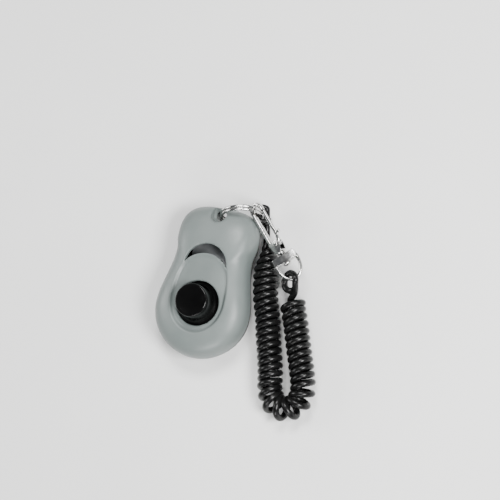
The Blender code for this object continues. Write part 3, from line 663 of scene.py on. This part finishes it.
def outline(count, inset=0.0):
    raw = []
    low_end = LOWER_CENTRE_Y - LOWER_SEMI_HEIGHT
    high_end = UPPER_CENTRE_Y + UPPER_SEMI_HEIGHT
    for i in range(count):
        angle = 2 * math.pi * i / count
        dx, dy = math.cos(angle), math.sin(angle)
        low, high = 0.0, 40 * MM
        for _ in range(40):
            middle = (low + high) / 2
            y = middle * dy
            inside = low_end <= y <= high_end and abs(middle * dx) <= half_width(y)
            low, high = (middle, high) if inside else (low, middle)
        raw.append(Vector((low * dx, low * dy)))
    moved = []
    for i in range(count):
        along = raw[(i + 1) % count] - raw[i - 1]
        moved.append(raw[i] + Vector((-along.y, along.x)).normalized() * inset)
    return moved


def egg(x, y):
    up = y - EGG_CENTRE_Y
    reach = EGG_HIGH_REACH if up > 0 else EGG_LOW_REACH
    power = EGG_HIGH_EXPONENT if up > 0 else EGG_LOW_EXPONENT
    e = (abs(x / EGG_HALF_WIDTH) ** power + abs(up / reach) ** power) ** (1.0 / power)
    return 1.0 - smooth((e - 0.9) / 0.14)


def crescent_arcs():
    """Centre height, radius and half sweep of the slot's outer and inner arcs."""
    arcs = []
    for peak in (CRESCENT_OUTER_PEAK_Y, CRESCENT_INNER_PEAK_Y):
        rise = peak - CRESCENT_END_Y
        radius = (rise * rise + CRESCENT_HALF_SPAN ** 2) / (2 * rise)
        sweep_half = math.asin(CRESCENT_HALF_SPAN / radius)
        if peak - radius > CRESCENT_END_Y:
            sweep_half = math.pi - sweep_half
        arcs.append((peak - radius, radius, sweep_half))
    return arcs


CRESCENT_ARCS = crescent_arcs()


def edge_drop(distance):
    """How far a rounded edge falls away at a distance from the opening."""
    if distance >= FILLET:
        return 0.0
    inward = FILLET - max(distance, 0.0)
    return FILLET - math.sqrt(max(FILLET * FILLET - inward * inward, 0.0))


def openings_drop(x, y):
    hole = math.hypot(x, y - BUTTON_Y) - BUTTON_HOLE_RADIUS
    (outer_y, outer_r, _), (inner_y, inner_r, _) = CRESCENT_ARCS
    slot = max(math.hypot(x, y - outer_y) - outer_r, inner_r - math.hypot(x, y - inner_y))
    if y > LANYARD_Y:
        pocket = abs(x) - POCKET_HALF_WIDTH
    else:
        pocket = math.hypot(x, y - LANYARD_Y) - POCKET_HALF_WIDTH
    return max(edge_drop(hole), edge_drop(slot), edge_drop(pocket))


def crown(share, x, y, height):
    rise = (1.0 - share ** CROWN_EXPONENT) ** (1.0 / CROWN_EXPONENT)
    return PARTING_Z + GAP + height * rise - EGG_DEPTH * egg(x, y)


def crescent_outline(count=40):
    points = []
    for (centre, radius, half), direction in zip(CRESCENT_ARCS, (1, -1)):
        for i in range(count):
            angle = direction * half * (1 - 2 * i / count)
            points.append((radius * math.sin(angle), centre + radius * math.cos(angle)))
    return points


def pocket_outline(reach):
    points = [(POCKET_HALF_WIDTH, LANYARD_Y + reach), (-POCKET_HALF_WIDTH, LANYARD_Y + reach)]
    for i in range(33):
        angle = math.pi + math.pi * i / 32
        points.append((POCKET_HALF_WIDTH * math.cos(angle),
                       LANYARD_Y + POCKET_HALF_WIDTH * math.sin(angle)))
    return points


def at(x, y, z=0.0):
    return Matrix.Translation((x, y, z))


def lanyard_tool():
    return turned("tool_hole", [(LANYARD_HOLE_RADIUS, TOOL_LOW_Z), (LANYARD_HOLE_RADIUS, 20 * MM)], None,
                  48, at(0, LANYARD_Y))


def casing_shares(count):
    """Ring sizes from the rim to the middle, closer together over the rounded shoulder."""
    return [math.sin(math.pi / 2 * (1 - i / count)) ** 0.9 for i in range(count)]


def make_top_casing():
    segments = 216
    edge = outline(segments)
    inner_edge = outline(segments, TOP_WALL)
    height = CASING_TOP_Z - PARTING_Z - GAP
    rings = []
    for share in reversed(casing_shares(16)):
        ring = []
        for p in inner_edge:
            x, y = p.x * share, min(p.y * share, CAVITY_END_Y)
            ring.append((x, y, crown(share, x, y, height - TOP_WALL)))
        rings.append(ring)
    rim = outline(segments, 0.15 * MM)
    rings.append([(p.x, p.y, PARTING_Z + GAP) for p in rim])
    for share in casing_shares(78):
        ring = []
        for p in edge:
            x, y = p.x * share, p.y * share
            z = crown(share, x, y, height) - openings_drop(x, y)
            ring.append((x, y, max(z, PARTING_Z + GAP + 0.1 * MM)))
        rings.append(ring)
    shell = rings_object("top_casing_skin", rings, GREY, 38.0)
    hole = turned("tool_button", [(BUTTON_HOLE_RADIUS, 9 * MM), (BUTTON_HOLE_RADIUS, TOOL_HIGH_Z)], None,
                  128, at(0, BUTTON_Y))
    slot = prism("tool_crescent", crescent_outline(), 9 * MM, TOOL_HIGH_Z, None)
    pocket = prism("tool_pocket", pocket_outline(POCKET_REACH), WEB_TOP_Z, TOOL_HIGH_Z, None)
    cut(shell, hole, slot, pocket, lanyard_tool())
    part_of(shell, "root", "grey_shell", "top_casing")


def make_bottom_casing():
    segments = 216
    rings = []
    steps = 12
    for k in range(steps + 1):
        angle = math.pi / 2 * k / steps
        inset = BOTTOM_INSET + BACK_CORNER_WIDTH * (1 - math.sin(angle))
        z = BACK_CORNER_HEIGHT * (1 - math.cos(angle))
        rings.append([(p.x, p.y, z) for p in outline(segments, inset)])
    rings.append([(p.x, p.y, PARTING_Z - 0.2 * MM) for p in outline(segments, BOTTOM_INSET)])
    rings.append([(p.x, p.y, PARTING_Z) for p in outline(segments, BOTTOM_INSET + 0.2 * MM)])
    inner = outline(segments, BOTTOM_INSET + SIDE_WALL)
    low_inner = outline(segments, BOTTOM_INSET + 3.2 * MM)
    rings.append([(p.x, min(p.y, CAVITY_END_Y), PARTING_Z) for p in inner])
    rings.append([(p.x, min(p.y, CAVITY_END_Y), 3.4 * MM) for p in inner])
    rings.append([(p.x, min(p.y, CAVITY_END_Y - 1.4 * MM), BACK_WALL) for p in low_inner])
    shell = rings_object("bottom_casing_skin", rings, BLACK, 38.0)
    for x, y in SCREW_PLACES:
        seat = turned("tool_seat", [(3.0 * MM, 1.0 * MM), (3.0 * MM, 4.0 * MM)], None, 48, at(x, y))
        cut(shell, seat, operation="UNION")
        recess = turned("tool_recess", [(2.3 * MM, -1.0 * MM), (2.3 * MM, 0.0), (2.0 * MM, 0.3 * MM),
                                        (2.0 * MM, 2.2 * MM)], None, 48, at(x, y))
        cut(shell, recess)
    pocket = prism("tool_low_pocket", pocket_outline(POCKET_REACH), TOOL_LOW_Z, WEB_BOTTOM_Z, None)
    side = box("tool_low_side", (0.0, LANYARD_Y - POCKET_HALF_WIDTH + 0.1 * MM, TOOL_LOW_Z),
               (5.2 * MM, LANYARD_Y + POCKET_REACH, WEB_BOTTOM_Z), None)
    relief = box("tool_relief", (0.5 * MM, LANYARD_Y - POCKET_HALF_WIDTH + 0.2 * MM, TOOL_LOW_Z),
                 (16 * MM, LANYARD_Y + POCKET_REACH, RING_RELIEF_Z), None)
    cut(shell, pocket, side, relief, lanyard_tool())
    part_of(shell, "root", "black_shell", "bottom_casing")


def make_screws():
    """Countersunk cross-head screws, sunk in the back."""
    for k, (x, y) in enumerate(SCREW_PLACES):
        screw = turned(f"casing_screw_skin_{k + 1}", SCREW_PROFILE, STEEL, 48, at(x, y))
        for turn in (0.0, math.pi / 2):
            place = at(x, y) @ Matrix.Rotation(turn + 0.4 * k, 4, "Z")
            cross = box("tool_cross", (-1.1 * MM, -0.22 * MM, -0.1 * MM), (1.1 * MM, 0.22 * MM, 0.95 * MM),
                        None, place)
            cut(screw, cross)
        soften(screw, 0.06 * MM, 2)
        part_of(screw, "root", "spring_steel", f"casing_screw_{k + 1}")


def make_button():
    """A dished cap with a rounded rim, on a flared skirt that sweeps out under the hole."""
    flange = BUTTON_FLANGE_TOP_Z
    cap, top = BUTTON_RADIUS, BUTTON_TOP_Z
    skirt = [Vector((r * MM, 0, flange + h * MM)) for r, h in
             ((8.9, 0.0), (8.38, 0.25), (8.12, 0.9), (7.85, 1.6), (7.45, 2.3), (7.05, 3.0), (6.78, 3.9),
              (6.6, 5.2), (6.48, 6.6), (6.4, 7.6))]
    profile = [(1.0 * MM, flange - 2.7 * MM), (2.4 * MM, flange - 2.5 * MM), (2.4 * MM, flange - 1.0 * MM),
               (BUTTON_FLANGE_RADIUS - 0.1 * MM, flange - 1.0 * MM),
               (BUTTON_FLANGE_RADIUS, flange - 0.8 * MM),
               (BUTTON_FLANGE_RADIUS, flange - 0.1 * MM), (BUTTON_FLANGE_RADIUS - 0.1 * MM, flange)]
    profile += [(p.x, p.z) for p in catmull(skirt, 8)]
    round_r = 0.55 * MM
    for i in range(1, 9):
        angle = math.pi / 2 * i / 8
        profile.append((cap + 0.02 * MM - round_r * (1 - math.cos(angle)),
                        top - round_r * (1 - math.sin(angle))))
    for share in (0.88, 0.84, 0.80, 0.7, 0.5, 0.3, 0.12):
        dish = 0.28 * MM * smooth((0.9 - share) / 0.3)
        profile.append((cap * share, top - dish))
    button = turned("button_cap_skin", profile, GLOSS, 160, at(0, BUTTON_Y), 50.0)
    part_of(button, "button", "button_gloss", "button_cap")


def finish_inside():
    """The reed, its frame and rivets keep their solids and take the steel's finish."""
    for name in ("click_reed", "reed_frame", "reed_rivet_left", "reed_rivet_right", "gate_spring"):
        node = bpy.data.objects[name]
        node.data.materials.clear()
        node.data.materials.append(STEEL)


# ---------------------------------------------------------------- ring, hook and swivel

def make_split_ring():
    """Two turns of flat-sided wire, each end stepping across to the other turn."""
    along, up, normal = ring_axes()
    centre = Vector((0.0, LANYARD_Y, RING_Z)) + along * (RING_RADIUS - 0.15 * MM)
    count = 220
    line = []
    for i in range(count + 1):
        t = RING_TURNS * i / count
        angle = 2 * math.pi * t + math.radians(RING_START_DEG)
        step = RING_PITCH * (smooth((t - 0.7) / 0.54) - 0.5)
        line.append(centre + (along * math.cos(angle) + up * math.sin(angle)) * RING_RADIUS + normal * step)

    def ends(t):
        return 1.0 - 0.25 * max(1 - t / 0.006, 0.0) - 0.25 * max(1 - (1 - t) / 0.006, 0.0)

    ring = sweep("split_ring_wire", line, NICKEL, RING_WIRE, RING_WIRE, normal, 20, 2.2, ends)
    part_of(ring, "ring", "plated_steel", "split_ring")


def bow_line():
    corners = [Vector((2.6, -0.4, 0)), Vector((4.6, -1.8, 0)), Vector((7.0, -2.35, 0)),
               Vector((10.0, -2.45, 0)), Vector((14.0, -2.45, 0)), Vector((18.0, -2.45, 0))]
    line = [p * MM for p in catmull(corners, 8)][:-1]
    for i in range(29):
        angle = -math.pi / 2 + math.pi * i / 28
        x = NOSE_CENTRE + BOW_HALF_WIDTH * math.cos(angle)
        line.append(Vector((x, BOW_HALF_WIDTH * math.sin(angle), 0)))
    line.append(Vector((NOSE_CENTRE - 0.6 * MM, BOW_HALF_WIDTH, 0)))
    line.append(Vector((NOSE_CENTRE - 1.1 * MM, BOW_HALF_WIDTH, 0)))
    return line


def make_hook():
    place = hook_matrix()
    normal = (place.to_3x3() @ Vector((0, 0, 1))).normalized()

    def taper(t):
        return 1.0 - 0.12 * smooth((t - 0.55) / 0.4)

    bow = sweep("snap_hook_bow", [place @ p for p in bow_line()], NICKEL, BOW_BAR, BOW_THICKNESS, normal,
                24, 2.8, taper)
    part_of(bow, "hook", "plated_steel", "snap_hook_body")
    shape = [(3.0 * MM, -1.75 * MM), (5.0 * MM, -2.35 * MM), (7.4 * MM, -2.9 * MM), (7.9 * MM, -2.4 * MM),
             (7.9 * MM, 0.9 * MM), (7.5 * MM, 1.8 * MM), (6.7 * MM, 2.3 * MM), (5.0 * MM, 2.2 * MM),
             (3.0 * MM, 1.75 * MM)]
    cheek = prism("snap_hook_cheeks", shape, -1.4 * MM, 1.4 * MM, NICKEL, place)
    slot = box("tool_slot", (3.3 * MM, -0.9 * MM, -0.8 * MM), (9.0 * MM, 4.0 * MM, 0.8 * MM), None, place)
    cut(cheek, slot)
    soften(cheek, 0.28 * MM, 3)
    part_of(cheek, "hook", "plated_steel")
    axis = place @ Matrix.Rotation(math.pi / 2, 4, "Y")
    neck = turned("snap_hook_neck", [(1.1 * MM, NECK_START), (1.5 * MM, NECK_START + 0.15 * MM),
                                     (1.62 * MM, NECK_START + 0.5 * MM), (1.5 * MM, NECK_START + 1.0 * MM),
                                     (1.3 * MM, NECK_START + 1.3 * MM), (1.45 * MM, NECK_START + 1.7 * MM)],
                  NICKEL, 48, axis)
    part_of(neck, "hook", "plated_steel")
    pin_place = place @ Matrix.Translation(GATE_PIVOT)
    dome = [(0.35, -1.98), (0.62, -1.9), (0.84, -1.72), (0.9, -1.5), (0.5, -1.5), (0.5, 1.5), (0.9, 1.5),
            (0.84, 1.72), (0.62, 1.9), (0.35, 1.98)]
    pin = turned("gate_pin_skin", [(r * MM, z * MM) for r, z in dome], NICKEL, 40, pin_place)
    part_of(pin, "hook", "plated_steel", "gate_pin")


def make_gate():
    """The lever: an eye on its pin, a bar to the nose and a thumb nub."""
    place = hook_matrix()
    normal = (place.to_3x3() @ Vector((0, 0, 1))).normalized()
    corners = [Vector((4.8, 1.15, 0)), Vector((6.3, 1.2, 0)), Vector((7.8, 2.0, 0)), Vector((9.4, 2.4, 0)),
               Vector((12.0, 2.45, 0)), Vector((15.5, 2.45, 0)), Vector((18.8, 2.45, 0)),
               Vector((19.8, 2.45, 0))]
    line = [place @ (p * MM) for p in catmull(corners, 8)]
    bar = sweep("snap_gate_bar", line, NICKEL, 1.3 * MM, 1.0 * MM, normal, 20, 3.2)
    part_of(bar, "gate", "plated_steel", "snap_gate")
    eye_profile = [(r * MM, z * MM) for r, z in ((1.1, -0.5), (1.28, -0.4), (1.28, 0.4), (1.1, 0.5))]
    eye = turned("snap_gate_eye", eye_profile, NICKEL, 40, place @ Matrix.Translation(GATE_PIVOT))
    part_of(eye, "gate", "plated_steel")
    stalk = [Vector((9.3, 2.4, 0)), Vector((9.7, 3.2, 0)), Vector((9.95, 4.0, 0)), Vector((9.95, 4.6, 0))]

    def nub_size(t):
        return 1.0 + 0.15 * smooth((t - 0.6) / 0.3) - 0.5 * smooth((t - 0.93) / 0.07)

    nub = sweep("snap_gate_nub", [place @ (p * MM) for p in catmull(stalk, 6)], NICKEL, 1.2 * MM, 0.9 * MM,
                normal, 20, 2.6, nub_size)
    part_of(nub, "gate", "plated_steel")


def make_swivel():
    place = level_matrix()
    normal = (place.to_3x3() @ Vector((0, 0, 1))).normalized()
    half = BLOCK_LENGTH / 2
    thin = BLOCK_WIDTH / 2
    block = box("swivel_block", (-thin, -half, -thin), (thin, half, thin), NICKEL, place)
    axis = place @ Matrix.Rotation(math.pi / 2, 4, "Y")
    cut(block, turned("tool_block", [(1.0 * MM, -4 * MM), (1.0 * MM, 4 * MM)], None, 40, axis))
    soften(block, 0.32 * MM, 3)
    part_of(block, "swivel", "plated_steel", "swivel_loop")
    side = SWIVEL_HALF_WIDTH
    line = [Vector((-0.6 * MM, side - 0.1 * MM, 0)), Vector((-1.6 * MM, side, 0))]
    for i in range(41):
        angle = math.pi / 2 - math.pi * i / 40
        line.append(Vector((-SWIVEL_STRAIGHT - (SWIVEL_REACH - SWIVEL_STRAIGHT) * math.cos(angle),
                            side * math.sin(angle), 0)))
    line += [Vector((-1.6 * MM, -side, 0)), Vector((-0.6 * MM, -side + 0.1 * MM, 0))]

    def thick(t):
        return 1.0 + 0.2 * (1 - smooth(min(t, 1 - t) / 0.1))

    wire = sweep("swivel_wire", [place @ p for p in line], NICKEL, SWIVEL_WIRE, SWIVEL_WIRE, normal,
                 24, 2.0, thick)
    part_of(wire, "swivel", "plated_steel")
    head = [(0.3, -2.98), (0.9, -2.85), (1.35, -2.55), (1.58, -2.2), (1.6, -1.85), (0.7, -1.8),
            (0.7, 2.7), (0.3, 2.9)]
    stem = turned("swivel_stem_skin", [(r * MM, z * MM) for r, z in head], NICKEL, 48, axis)
    part_of(stem, "hook", "plated_steel", "swivel_stem")


make_top_casing()
make_bottom_casing()
make_screws()
make_button()
finish_inside()
make_split_ring()
make_hook()
make_gate()
make_swivel()


# ---------------------------------------------------------------- floor and light

def make_floor():
    size, z = FLOOR_HALF_SIZE, FLOOR_Z
    floor = link_mesh("floor", [(-size, -size, z), (size, -size, z), (size, size, z), (-size, size, z)],
                      [(0, 1, 2, 3)], pale_floor())


def area_light(name, place, size, power):
    data = bpy.data.lights.new(name, "AREA")
    data.shape = "RECTANGLE"
    data.size, data.size_y = size
    data.energy = power
    lamp = bpy.data.objects.new(name, data)
    lamp.location = place
    lamp.rotation_euler = (VIEW_TARGET - Vector(place)).to_track_quat("-Z", "Y").to_euler()
    bpy.context.scene.collection.objects.link(lamp)


def make_light():
    world = bpy.data.worlds.new("studio")
    world.use_nodes = True
    sky = world.node_tree.nodes["Background"]
    sky.inputs["Color"].default_value = WORLD_COLOUR
    sky.inputs["Strength"].default_value = WORLD_STRENGTH
    bpy.context.scene.world = world
    for light in LIGHTS:
        area_light(*light)


make_floor()
make_light()
